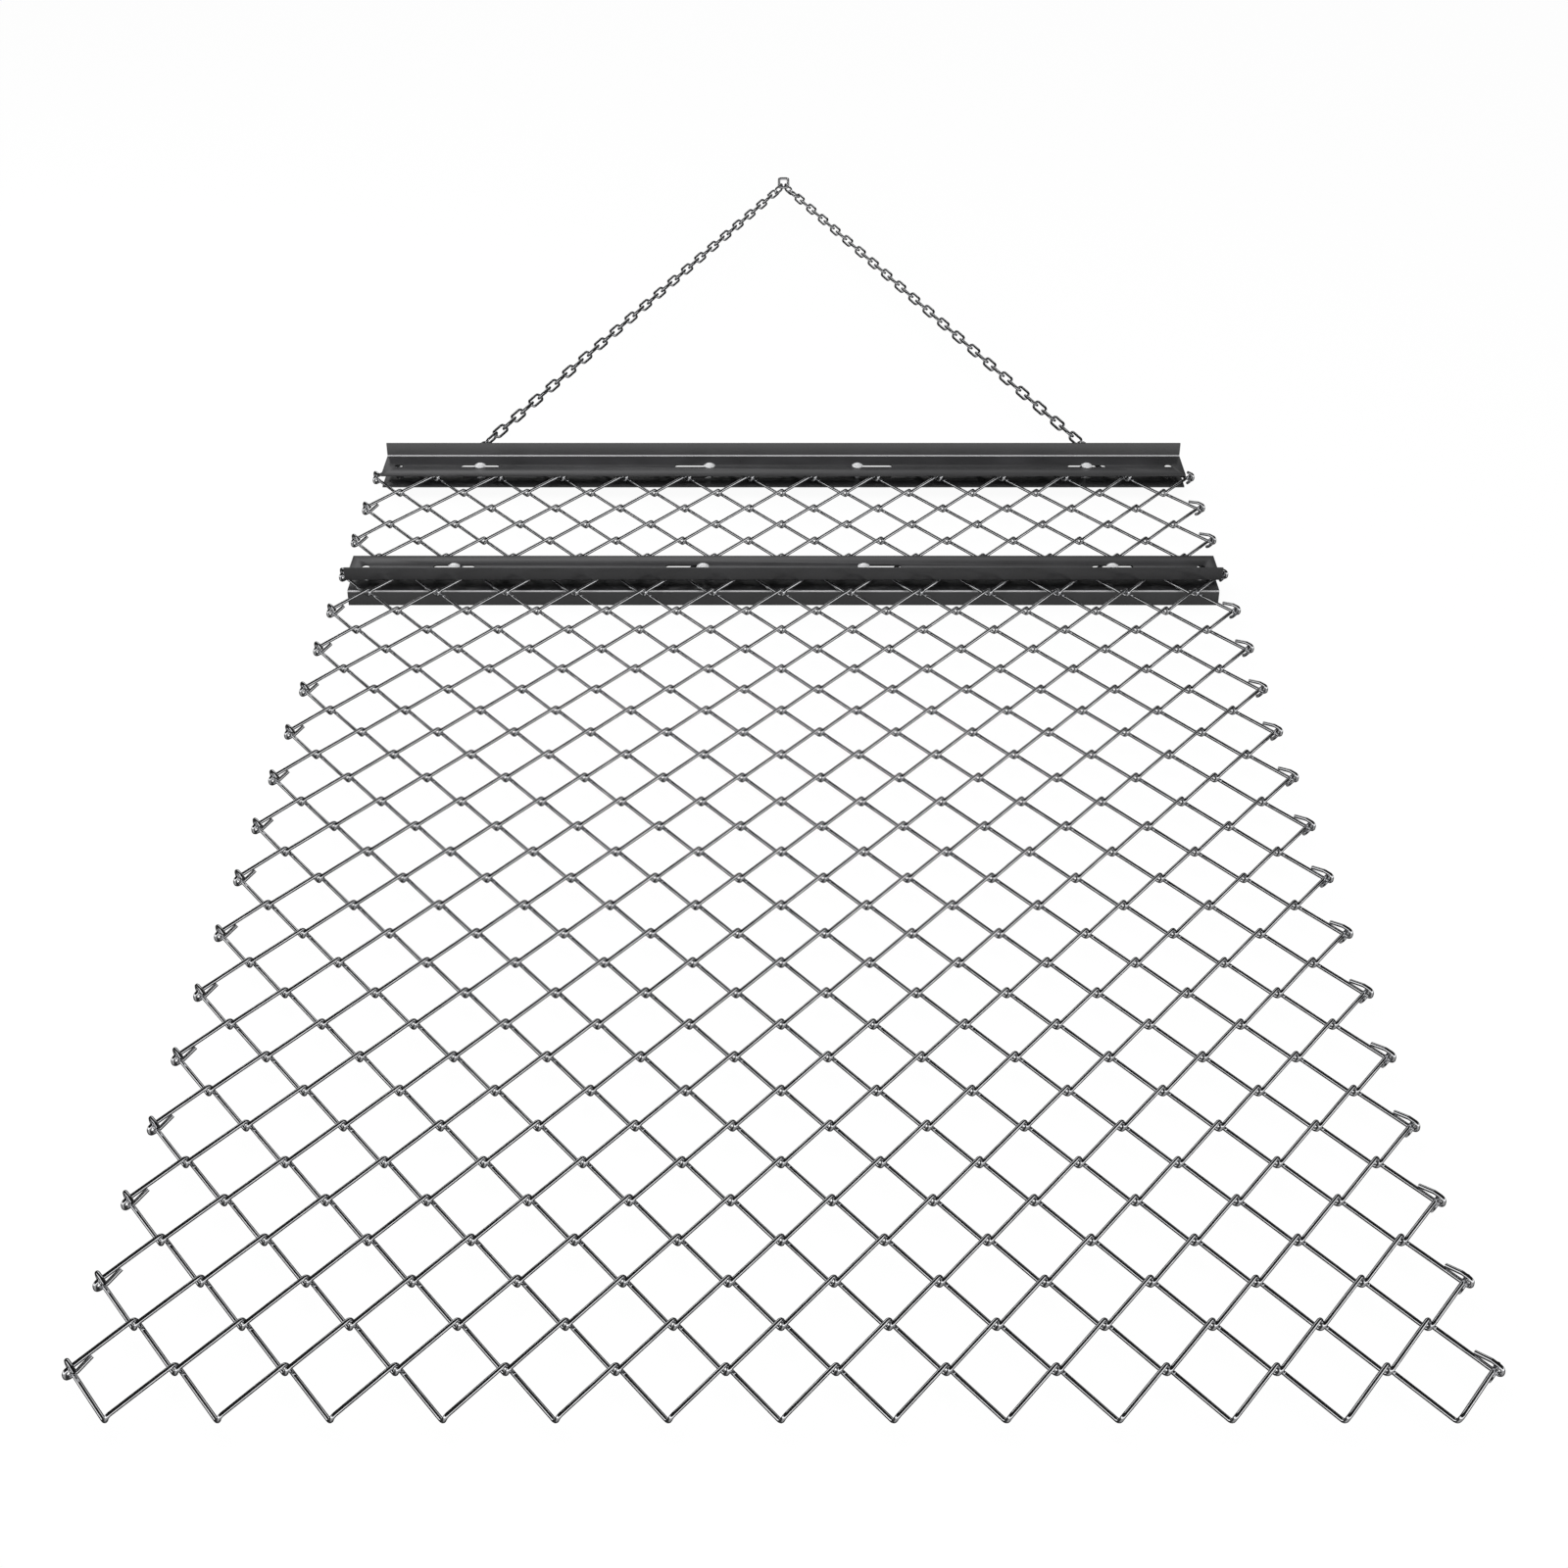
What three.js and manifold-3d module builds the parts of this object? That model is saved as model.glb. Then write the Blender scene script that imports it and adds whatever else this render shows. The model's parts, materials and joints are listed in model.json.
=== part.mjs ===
// Chain harrow: a woven steel wire mat, clamped between two pairs of bent steel angles and pulled by a
// V of link chain. Millimetres, +X right, +Y towards the tow link, +Z up.
// The mat is drawn flat, as it lies on level ground, and the angles' narrow legs stand above and below it.
import * as THREE from 'three';
import { mergeVertices } from 'three/addons/utils/BufferGeometryUtils.js';
import Module from 'manifold-3d';

const wasm = await Module();
wasm.setup();

// Mat: wires run left to right in zigzags, each one hooked to the next at every bend
const cellWidth = 117.5; // corner to corner of one square mesh
const cellsAcross = 13;
const wireCount = 36;
const wireDiameter = 5.5;
const strandHeight = 4.8; // centre of the upper and lower strands above and below the mat's middle
const bendWidth = 3.4; // sideways travel of a wire as it crosses from one layer to the other
const bendPlay = 0.5; // free space between two wires where they hook together
const hookReach = 3; // how far an end hook runs past the row of bends
const hookClearance = 1.5; // between an end hook's tail and the strand that it passes
const rearHookTail = 34; // folded tail of the wires that end at their rear bends
const frontHookTail = 21; // folded tail of the wires that end at their front bends
const clampedHookTail = 14; // tails beside the ends of the angles, cut short to clear them

// Angles: four alike, bent from sheet, one above and one below the mat in each pair
const angleLength = 1500;
const angleWidth = 80; // outer width of the wide leg
const angleHeight = 27; // of the narrow leg, measured square to the wide one
const legLean = 8; // degrees by which the narrow leg leans outwards
const sheetThickness = 3;
const bendInnerRadius = 1;
const clampClearance = 0.15; // between the upper angle's wide leg and the strands
const lowerPlay = 4.65; // free height that the lower angle has on top of that clearance
const frontEdgeSetback = 10; // free edge of the front pair, behind the mat's first full row of bends
const rearEdgeSetback = 12; // free edge of the levelling pair, behind the bends that it follows
const rowsToRearPair = 5; // rows of bends from the front pair to that edge
const slotLine = 37; // centre of the slots and holes from the wide leg's free edge
const slotWidth = 11;
const slotLength = 71;
const innerMeshes = 1; // whole meshes between the middle and the inner bolts
const innerSlotShift = 29; // middle of the inner slots, outwards from their bolts
const outerMeshes = 1; // of the whole meshes that the angle covers, those beyond the outer bolts
const endHoleDiameter = 14;
const endHoleInset = 27.5;

// Carriage bolts and flange nuts, one through each slot
const boltDiameter = 8;
const boltHeadDiameter = 20.5;
const boltHeadHeight = 4.6;
const boltNeckWidth = 8;
const boltNeckHeight = 2.6;
const boltTail = 2.5; // thread that shows below the nut
const innerBoltShift = 10.25; // inner bolts, inwards from the strand of the front row beside them
const outerBoltShift = 13.75; // outer bolts and slots, outwards from the strand beside them
const nutAcrossFlats = 13;
const nutHeight = 8;
const nutFlangeDiameter = 18;
const nutFlangeHeight = 1.8;
const seatClearance = 0.3; // between a head, nut or link and its seat

// Tow chain: two arms of long links from lugs on the front angle to one tow link
const linksPerArm = 42;
const linkPitch = 36; // inner length of a link
const linkWidth = 20; // outer
const linkWire = 5;
const linkWeld = 0.2; // depth by which neighbouring links are joined
const lugInset = 168.5; // from the angle's end
const lugThickness = 3;
const lugLength = 14.5; // from the angle's front face
const lugHoleDiameter = 10;
const lugHoleInset = 6.2; // centre of the hole from the angle's front face
const lugRise = 14.5; // centre of the hole above the mat's middle
const lugRoot = 1; // depth of the lug inside the angle's wall
const towLinkLength = 70; // outer
const towLinkWidth = 28; // outer
const towLinkWire = 6;
const towLinkCornerShare = 0.35; // cut-off corners of the tow link, as a share of half its width
const towLinkHitch = 6.4; // sideways place of each arm's last link on the tow link
const turnClearance = 0.05; // between the last links and the tow link's corners as it turns

const cutOverrun = 2;

// Sizes worked out from the ones above
const row = cellWidth / 2; // distance between two rows of bends
const halfMat = cellsAcross * row;
// Round wires are drawn square: inside the round where they turn about each other, else of the same area
const insideShare = Math.SQRT1_2 / 2;
const sameAreaShare = Math.sqrt(Math.PI) / 4;
const wireHalfSide = insideShare * wireDiameter;
const towLinkHalfSide = insideShare * towLinkWire;
const linkHalfSide = sameAreaShare * linkWire;
const bendReach = (wireDiameter + bendPlay) / 2; // a bend's distance past the row line
const hookHeight = strandHeight + wireDiameter + hookClearance; // height of a folded tail
// Faces of the wide legs, towards the mat and away from it, from the mat's middle
const upperInner = strandHeight + wireDiameter / 2 + clampClearance;
const upperOuter = upperInner + sheetThickness;
const lowerInner = upperInner + lowerPlay;
const lowerOuter = lowerInner + sheetThickness;
const clampedWires = [1, 2, rowsToRearPair + 2, rowsToRearPair + 3];
const boltLine = slotLine - frontEdgeSetback; // the front bolts, ahead of the first full row of bends
const innerBoltCentre = innerMeshes * cellWidth + row - boltLine - innerBoltShift;
const innerSlotCentre = innerBoltCentre + innerSlotShift;
const coveredMeshes = Math.floor(angleLength / 2 / cellWidth);
const outerSlotCentre = (coveredMeshes - outerMeshes) * cellWidth - row + boltLine + outerBoltShift;
const lugCentre = angleLength / 2 - lugInset;

const wireSteel = new THREE.MeshStandardMaterial({ color: 0xb4b8bc, metalness: 1, roughness: 0.25 });
const chainSteel = new THREE.MeshStandardMaterial({ color: 0xa9adb2, metalness: 1, roughness: 0.3 });
const boltSteel = new THREE.MeshStandardMaterial({ color: 0xc2c6ca, metalness: 1, roughness: 0.25 });
const blackPaint = new THREE.MeshStandardMaterial({ color: 0x2b2c2e, metalness: 0.1, roughness: 0.45 });

// Solids for joining and cutting, and back again
function solid(geometry) {
  const bare = new THREE.BufferGeometry();
  bare.setAttribute('position', geometry.getAttribute('position'));
  bare.setIndex(geometry.getIndex());
  const merged = mergeVertices(bare, 1e-3);
  return new wasm.Manifold(new wasm.Mesh({
    numProp: 3,
    vertProperties: new Float32Array(merged.getAttribute('position').array),
    triVerts: new Uint32Array(merged.getIndex().array),
  }));
}

function geometryOf(body) {
  const mesh = body.getMesh();
  const geometry = new THREE.BufferGeometry();
  geometry.setAttribute('position', new THREE.BufferAttribute(mesh.vertProperties, 3));
  geometry.setIndex(new THREE.BufferAttribute(mesh.triVerts, 1));
  geometry.computeVertexNormals();
  return geometry;
}

// Square-section wire: each straight is a level prism, cut at each bend by the plane between its
// own direction and the next one's
const up = new THREE.Vector3(0, 0, 1);

function ring(point, along, cut, halfSide) {
  const side = new THREE.Vector3().crossVectors(up, along).normalize();
  const over = new THREE.Vector3().crossVectors(along, side);
  const corners = [[1, 1], [-1, 1], [-1, -1], [1, -1]];
  return corners.map(([s, o]) => {
    const offset = side.clone().multiplyScalar(s * halfSide).addScaledVector(over, o * halfSide);
    return offset.addScaledVector(along, -offset.dot(cut) / along.dot(cut)).add(point);
  });
}

// The same corners, started from the one that lies nearest the ring before
function turned(corners, before) {
  const turns = [0, 1, 2, 3].map((turn) => corners.map((_, i) => corners[(i + turn) % 4]));
  const apart = (turn) => turn.reduce((sum, corner, i) => sum + corner.distanceToSquared(before[i]), 0);
  return turns.reduce((best, turn) => (apart(turn) < apart(best) ? turn : best));
}

function skin(rings, closed) {
  const position = rings.flat().flatMap((corner) => corner.toArray());
  const index = [];
  const spans = closed ? rings.length : rings.length - 1;
  for (let r = 0; r < spans; r += 1) {
    const here = 4 * r;
    const next = 4 * ((r + 1) % rings.length);
    for (let i = 0; i < 4; i += 1) {
      const j = (i + 1) % 4;
      index.push(here + i, here + j, next + j, here + i, next + j, next + i);
    }
  }
  if (!closed) {
    const last = 4 * (rings.length - 1);
    index.push(0, 2, 1, 0, 3, 2);
    index.push(last, last + 1, last + 2, last, last + 2, last + 3);
  }
  const geometry = new THREE.BufferGeometry();
  geometry.setAttribute('position', new THREE.Float32BufferAttribute(position, 3));
  geometry.setIndex(index);
  geometry.computeVertexNormals();
  return geometry;
}

// Mat wires. Wire 1 lies in front of the first row line, wire 2 behind it, and so on.
// "/" strands lie in the upper layer and "\" strands in the lower one.
function rowY(rowNumber) {
  return -rowNumber * row;
}

function wireStraights(number) {
  const rearEnds = number % 2 === 1; // both ends are rear bends, else both are front bends
  const tail = clampedWires.includes(number) ? clampedHookTail : rearEnds ? rearHookTail : frontHookTail;
  const front = rowY(number - 2) + bendReach;
  const rear = rowY(number - 1) - bendReach;
  const strands = 2 * cellsAcross;
  const straights = [];
  for (let s = 0; s < strands; s += 1) {
    const climbs = (s % 2 === 0) === rearEnds;
    const left = -halfMat + s * row;
    const z = climbs ? strandHeight : -strandHeight;
    straights.push([
      new THREE.Vector3(left + bendWidth / 2, climbs ? rear : front, z),
      new THREE.Vector3(left + row - bendWidth / 2, climbs ? front : rear, z),
    ]);
  }
  // The two ends run on a little, cross the mat and fold back along their own strands
  const tails = [straights[0], straights.at(-1)].map(([start, end], side) => {
    const outward = new THREE.Vector3().subVectors(side ? end : start, side ? start : end).normalize();
    const bend = side ? end : start;
    bend.addScaledVector(outward, hookReach * Math.SQRT2);
    const fold = bend.clone().setZ(-Math.sign(bend.z) * hookHeight);
    const tip = fold.clone().addScaledVector(outward, -tail);
    return side ? [fold, tip] : [tip, fold];
  });
  return [tails[0], ...straights, tails[1]];
}

function wireGeometry(number) {
  const straights = wireStraights(number);
  const rings = [];
  straights.forEach(([start, end], i) => {
    const along = new THREE.Vector3().subVectors(end, start).normalize();
    const arriving = i > 0 ? start.clone().sub(straights[i - 1][1]).normalize() : along;
    const leaving = i < straights.length - 1 ? straights[i + 1][0].clone().sub(end).normalize() : along;
    const entry = ring(start, along, arriving.add(along).normalize(), wireHalfSide);
    const exit = ring(end, along, leaving.add(along).normalize(), wireHalfSide);
    const placed = rings.length ? turned(entry, rings.at(-1)) : entry;
    rings.push(placed, turned(exit, placed));
  });
  return skin(rings, false);
}

// From a section drawn in U and V to one in Y and Z, drawn out along X
const sectionToSide = new THREE.Matrix4().makeBasis(
  new THREE.Vector3(0, 1, 0),
  new THREE.Vector3(0, 0, 1),
  new THREE.Vector3(1, 0, 0),
);

// Angles: the section has the wide leg's free edge at its origin, the leg running in +U and the
// narrow leg standing in +V at the far side
function angleSection() {
  const outer = bendInnerRadius + sheetThickness;
  const centre = angleWidth - outer;
  const lean = THREE.MathUtils.degToRad(legLean);
  const rise = angleHeight - outer * (1 - Math.sin(lean));
  const tip = centre + outer * Math.cos(lean) + rise * Math.tan(lean);
  const shape = new THREE.Shape();
  shape.moveTo(0, 0);
  shape.lineTo(centre, 0);
  shape.absarc(centre, outer, outer, -Math.PI / 2, -lean, false);
  shape.lineTo(tip, angleHeight);
  shape.lineTo(tip - sheetThickness / Math.cos(lean), angleHeight);
  shape.absarc(centre, outer, bendInnerRadius, -lean, -Math.PI / 2, true);
  shape.lineTo(0, sheetThickness);
  shape.closePath();
  return shape;
}

function slotOutline(width, length) {
  const radius = width / 2;
  const reach = length / 2 - radius;
  const shape = new THREE.Shape();
  shape.absarc(reach, 0, radius, -Math.PI / 2, Math.PI / 2, false);
  shape.absarc(-reach, 0, radius, Math.PI / 2, 3 * Math.PI / 2, false);
  shape.closePath();
  return shape;
}

function cutThrough(shape, x, curveSegments) {
  const depth = sheetThickness + 2 * cutOverrun;
  const cutter = new THREE.ExtrudeGeometry(shape, { depth, bevelEnabled: false, curveSegments });
  cutter.translate(x, slotLine, -cutOverrun);
  return solid(cutter);
}

function angleSolid() {
  const sheet = new THREE.ExtrudeGeometry(angleSection(), {
    depth: angleLength,
    bevelEnabled: false,
    curveSegments: 2,
  });
  sheet.applyMatrix4(sectionToSide);
  sheet.translate(-angleLength / 2, 0, 0);
  let body = solid(sheet);
  const slot = slotOutline(slotWidth, slotLength);
  const hole = new THREE.Shape().absarc(0, 0, endHoleDiameter / 2, 0, 2 * Math.PI, false);
  for (const side of [-1, 1]) {
    for (const centre of [innerSlotCentre, outerSlotCentre]) {
      body = body.subtract(cutThrough(slot, side * centre, 3));
    }
    body = body.subtract(cutThrough(hole, side * (angleLength / 2 - endHoleInset), 5));
  }
  return body;
}

// Lugs for the tow chain, welded to the front face of the front pair's upper angle: upright plates
// whose nose is round about the hole
function lugSolid(side) {
  const nose = lugLength - lugHoleInset;
  const root = -lugHoleInset - lugRoot;
  const outline = new THREE.Shape();
  outline.moveTo(root, -nose);
  outline.lineTo(0, -nose);
  outline.absarc(0, 0, nose, -Math.PI / 2, Math.PI / 2, false);
  outline.lineTo(root, nose);
  outline.closePath();
  outline.holes.push(new THREE.Path().absarc(0, 0, lugHoleDiameter / 2, 0, 2 * Math.PI, true));
  const plate = new THREE.ExtrudeGeometry(outline, {
    depth: lugThickness,
    bevelEnabled: false,
    curveSegments: 6,
  });
  plate.applyMatrix4(sectionToSide);
  plate.translate(side * lugCentre - lugThickness / 2, angleWidth + lugHoleInset, lugRise - upperInner);
  return solid(plate);
}

// A pair of angles shares its plan: the lower one is the upper one turned over. Both trap the mat,
// which lies against the upper one
function addPair(parent, names, freeEdge, facing, withLugs) {
  const plain = angleSolid();
  const upperBody = withLugs ? plain.add(lugSolid(-1)).add(lugSolid(1)) : plain;
  const upper = new THREE.Mesh(geometryOf(upperBody), blackPaint);
  const lower = new THREE.Mesh(geometryOf(plain), blackPaint);
  upper.position.set(0, freeEdge, upperInner);
  lower.position.set(0, freeEdge, -lowerInner);
  if (facing > 0) {
    lower.rotation.y = Math.PI;
  } else {
    upper.rotation.z = Math.PI;
    lower.rotation.x = Math.PI;
  }
  [upper.name, lower.name] = names;
  parent.add(upper, lower);
}

// Carriage bolt, head up, with its seat under the head at the origin
function boltGeometry() {
  const headRadius = boltHeadDiameter / 2;
  const dome = new THREE.Vector2(0, (boltHeadHeight ** 2 - headRadius ** 2) / (2 * boltHeadHeight));
  const domeRadius = boltHeadHeight - dome.y;
  const rim = Math.asin(headRadius / domeRadius);
  const shank = upperOuter + lowerOuter + 3 * seatClearance + nutHeight + boltTail;
  const profile = [new THREE.Vector2(0, -shank), new THREE.Vector2(boltDiameter / 2, -shank)];
  profile.push(new THREE.Vector2(boltDiameter / 2, 0), new THREE.Vector2(headRadius, 0));
  const steps = 3;
  for (let i = 1; i < steps; i += 1) {
    const angle = rim * (1 - i / steps);
    profile.push(new THREE.Vector2(domeRadius * Math.sin(angle), dome.y + domeRadius * Math.cos(angle)));
  }
  profile.push(new THREE.Vector2(0, boltHeadHeight));
  const turnedPart = new THREE.LatheGeometry(profile, 10);
  turnedPart.rotateX(Math.PI / 2);
  const neckLength = boltNeckHeight + boltHeadHeight / 2;
  const neck = new THREE.BoxGeometry(boltNeckWidth, boltNeckWidth, neckLength);
  neck.translate(0, 0, neckLength / 2 - boltNeckHeight);
  return geometryOf(solid(turnedPart).add(solid(neck)));
}

// Flange nut, flange up, with its seat at the origin
function nutGeometry() {
  const hexRadius = nutAcrossFlats / Math.sqrt(3);
  const hex = new THREE.CylinderGeometry(hexRadius, hexRadius, nutHeight, 6);
  hex.rotateX(Math.PI / 2);
  hex.translate(0, 0, -nutHeight / 2);
  const flange = new THREE.CylinderGeometry(
    nutFlangeDiameter / 2,
    nutFlangeDiameter / 2,
    nutFlangeHeight,
    12,
  );
  flange.rotateX(Math.PI / 2);
  flange.translate(0, 0, -nutFlangeHeight / 2);
  const boreRadius = boltDiameter / 2 + seatClearance;
  const bore = new THREE.CylinderGeometry(boreRadius, boreRadius, nutHeight + 2 * cutOverrun, 10);
  bore.rotateX(Math.PI / 2);
  bore.translate(0, 0, -nutHeight / 2);
  return geometryOf(solid(hex).add(solid(flange)).subtract(solid(bore)));
}

function addFasteners(parent, pairName, lineY) {
  const places = { left_outer: -outerSlotCentre, left_inner: -innerBoltCentre };
  Object.assign(places, { right_inner: innerBoltCentre, right_outer: outerSlotCentre });
  for (const [place, x] of Object.entries(places)) {
    const bolt = new THREE.Mesh(boltGeometry(), boltSteel);
    bolt.name = `${pairName}_bolt_${place}`;
    bolt.position.set(x, lineY, upperOuter + seatClearance);
    const nut = new THREE.Mesh(nutGeometry(), boltSteel);
    nut.name = `${pairName}_nut_${place}`;
    nut.position.set(x, lineY, -lowerOuter - seatClearance);
    parent.add(bolt, nut);
  }
}

// Links: a closed ring of square wire in the XY plane, long side along Y
function linkGeometry(innerLength, outerWidth, halfSide, cornerShare) {
  const halfLength = innerLength / 2 + halfSide;
  const halfWidth = outerWidth / 2 - halfSide;
  const corner = halfWidth * cornerShare;
  const outline = corner > 0 ? [
    [halfWidth, -halfLength + corner],
    [halfWidth, halfLength - corner],
    [halfWidth - corner, halfLength],
    [corner - halfWidth, halfLength],
    [-halfWidth, halfLength - corner],
    [-halfWidth, -halfLength + corner],
    [corner - halfWidth, -halfLength],
    [halfWidth - corner, -halfLength],
  ] : [
    [halfWidth, -halfLength],
    [halfWidth, halfLength],
    [-halfWidth, halfLength],
    [-halfWidth, -halfLength],
  ];
  const points = outline.map(([x, y]) => new THREE.Vector3(x, y, 0));
  const rings = points.map((point, i) => {
    const before = points.at(i - 1);
    const after = points[(i + 1) % points.length];
    const along = new THREE.Vector3().subVectors(after, point).normalize();
    const arriving = new THREE.Vector3().subVectors(point, before).normalize();
    return ring(point, along, arriving.add(along).normalize(), halfSide);
  });
  return skin(rings, true);
}

// One arm, links end to end along +Y from the middle of the first link's rear bar: the first link is
// flat, and every second one stands on edge
const linkInnerLength = linkPitch - linkWeld;

function armSolid() {
  const flat = linkGeometry(linkInnerLength, linkWidth, linkHalfSide, 0);
  const onEdge = flat.clone().rotateY(Math.PI / 2);
  const firstCentre = linkInnerLength / 2 + linkHalfSide;
  let arm = null;
  for (let i = 0; i < linksPerArm; i += 1) {
    const link = (i % 2 ? onEdge : flat).clone();
    link.translate(0, firstCentre + i * linkPitch, 0);
    arm = arm ? arm.add(solid(link)) : solid(link);
  }
  return arm;
}

// An arm reaches from the lug's hole to the tow link's rear bar, which passes through its last link
const armLean = Math.asin((lugCentre - towLinkHitch) / (linksPerArm * linkPitch - linkHalfSide));
const leaningEnd = linkHalfSide * (Math.cos(armLean) + Math.sin(armLean));
const towBarGap = (leaningEnd + towLinkWire / 2 + turnClearance) / Math.cos(armLean);
const lastBar = (linksPerArm - 1) * linkPitch + linkInnerLength + 2 * linkHalfSide;
const slantedBar = linkWire / 2 / Math.cos(armLean) + lugThickness / 2 * Math.tan(armLean);
const lugY = rowY(0) - frontEdgeSetback + angleWidth + lugHoleInset;
const firstBarY = lugY + Math.sqrt((lugHoleDiameter ** 2 - linkWire ** 2) / 4) - slantedBar - seatClearance;
const towBarY = firstBarY + (lastBar - towBarGap) * Math.cos(armLean);

function addTowChain(parent) {
  const geometry = geometryOf(armSolid());
  for (const [name, side] of [['tow_chain_left', -1], ['tow_chain_right', 1]]) {
    const arm = new THREE.Mesh(geometry, chainSteel);
    arm.name = name;
    arm.position.set(side * lugCentre, firstBarY, lugRise);
    arm.rotation.z = side * armLean;
    parent.add(arm);
  }
  const innerLength = towLinkLength - 2 * towLinkWire;
  const towLink = new THREE.Mesh(
    linkGeometry(innerLength, towLinkWidth, towLinkHalfSide, towLinkCornerShare),
    chainSteel,
  );
  towLink.name = 'tow_link';
  towLink.position.set(0, towBarY + innerLength / 2 + towLinkHalfSide, lugRise);
  parent.add(towLink);
}

// The whole harrow, moved so that the origin is under the middle of its box
const harrow = new THREE.Group();
const frontEdge = rowY(0) - frontEdgeSetback;
const rearEdge = rowY(rowsToRearPair) - rearEdgeSetback;
addPair(harrow, ['front_angle_upper', 'front_angle_lower'], frontEdge, 1, true);
addPair(harrow, ['rear_angle_upper', 'rear_angle_lower'], rearEdge, -1, false);
addFasteners(harrow, 'front', frontEdge + slotLine);
addFasteners(harrow, 'rear', rearEdge - slotLine);
for (let number = 1; number <= wireCount; number += 1) {
  const wire = new THREE.Mesh(wireGeometry(number), wireSteel);
  wire.name = `wire_${String(number).padStart(2, '0')}`;
  harrow.add(wire);
}
addTowChain(harrow);

const model = new THREE.Group();
model.add(harrow);
const extent = new THREE.Box3().setFromObject(model, true);
harrow.position.set(
  -(extent.min.x + extent.max.x) / 2,
  -(extent.min.y + extent.max.y) / 2,
  -extent.min.z,
);

export default model;
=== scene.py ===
import json
from math import asin, cos, pi, radians, sin, sqrt, tan

import bmesh
import bpy
from mathutils import Matrix, Vector


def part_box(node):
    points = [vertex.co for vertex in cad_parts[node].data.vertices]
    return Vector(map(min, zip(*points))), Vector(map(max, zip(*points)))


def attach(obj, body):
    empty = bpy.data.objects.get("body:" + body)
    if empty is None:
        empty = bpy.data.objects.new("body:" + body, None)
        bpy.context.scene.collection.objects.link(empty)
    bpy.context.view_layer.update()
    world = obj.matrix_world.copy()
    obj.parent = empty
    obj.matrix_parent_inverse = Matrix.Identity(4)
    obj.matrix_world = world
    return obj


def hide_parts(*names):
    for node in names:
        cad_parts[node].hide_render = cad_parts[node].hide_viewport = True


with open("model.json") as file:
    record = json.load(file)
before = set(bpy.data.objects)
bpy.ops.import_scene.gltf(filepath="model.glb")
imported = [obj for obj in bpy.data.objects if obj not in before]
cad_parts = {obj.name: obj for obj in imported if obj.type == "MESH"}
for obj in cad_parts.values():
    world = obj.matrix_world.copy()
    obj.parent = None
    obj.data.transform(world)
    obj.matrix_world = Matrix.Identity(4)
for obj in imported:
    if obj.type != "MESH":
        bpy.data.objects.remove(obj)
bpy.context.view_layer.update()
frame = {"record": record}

scene = bpy.context.scene
scene.view_settings.view_transform = "Standard"


# Studio. The harrow lies on a white floor. The camera stands behind the rear end of the mat at a
# height of 1.8 m and looks forward and down, so that the tow link is at the top of the picture.
camera_lens = 45.653
camera_place = (0.0011, -3.0585, 1.8091)
camera_pitch = radians(36.812)
camera = bpy.data.objects.new("camera", bpy.data.cameras.new("camera"))
scene.collection.objects.link(camera)
camera.data.sensor_fit = "HORIZONTAL"
camera.data.sensor_width = 36
camera.data.lens = camera_lens
camera.location = camera_place
camera.rotation_euler = (pi / 2 - camera_pitch, 0, 0)
scene.camera = camera


class Nodes:
    """A node tree that grows by one node for each call of add."""

    def __init__(self, tree):
        self.tree = tree

    def add(self, kind, settings=(), inputs=(), output=0):
        node = self.tree.nodes.new(kind)
        for name, value in dict(settings).items():
            if name == "stops":
                ramp = node.color_ramp
                for position, colour in value[2:]:
                    ramp.elements.new(position)
                for element, (position, colour) in zip(ramp.elements, value):
                    element.position = position
                    element.color = (*colour, 1)
            else:
                setattr(node, name, value)
        for name, value in dict(inputs).items():
            socket = node.inputs[name]
            if isinstance(value, Reading):
                self.tree.links.new(value.socket, socket)
            else:
                socket.default_value = value
        return Reading(self, node.outputs[output])


class Reading:
    """One output of a node. Sums and products of it add their Math nodes."""

    def __init__(self, nodes, socket):
        self.nodes = nodes
        self.socket = socket

    def also(self, output):
        return Reading(self.nodes, self.socket.node.outputs[output])

    def math(self, operation, first, second=0.0):
        return self.nodes.add("ShaderNodeMath", {"operation": operation}, {0: first, 1: second})

    def __add__(self, other):
        return self.math("ADD", self, other)

    def __sub__(self, other):
        return self.math("SUBTRACT", self, other)

    def __rsub__(self, other):
        return self.math("SUBTRACT", other, self)

    def __mul__(self, other):
        return self.math("MULTIPLY", self, other)

    def __mod__(self, other):
        return self.math("MODULO", self, other)

    __radd__ = __add__
    __rmul__ = __mul__


def end_tree(nodes, shader, kind):
    end = nodes.tree.nodes.new(kind)
    nodes.tree.links.new(shader.socket, end.inputs["Surface"])


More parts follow.
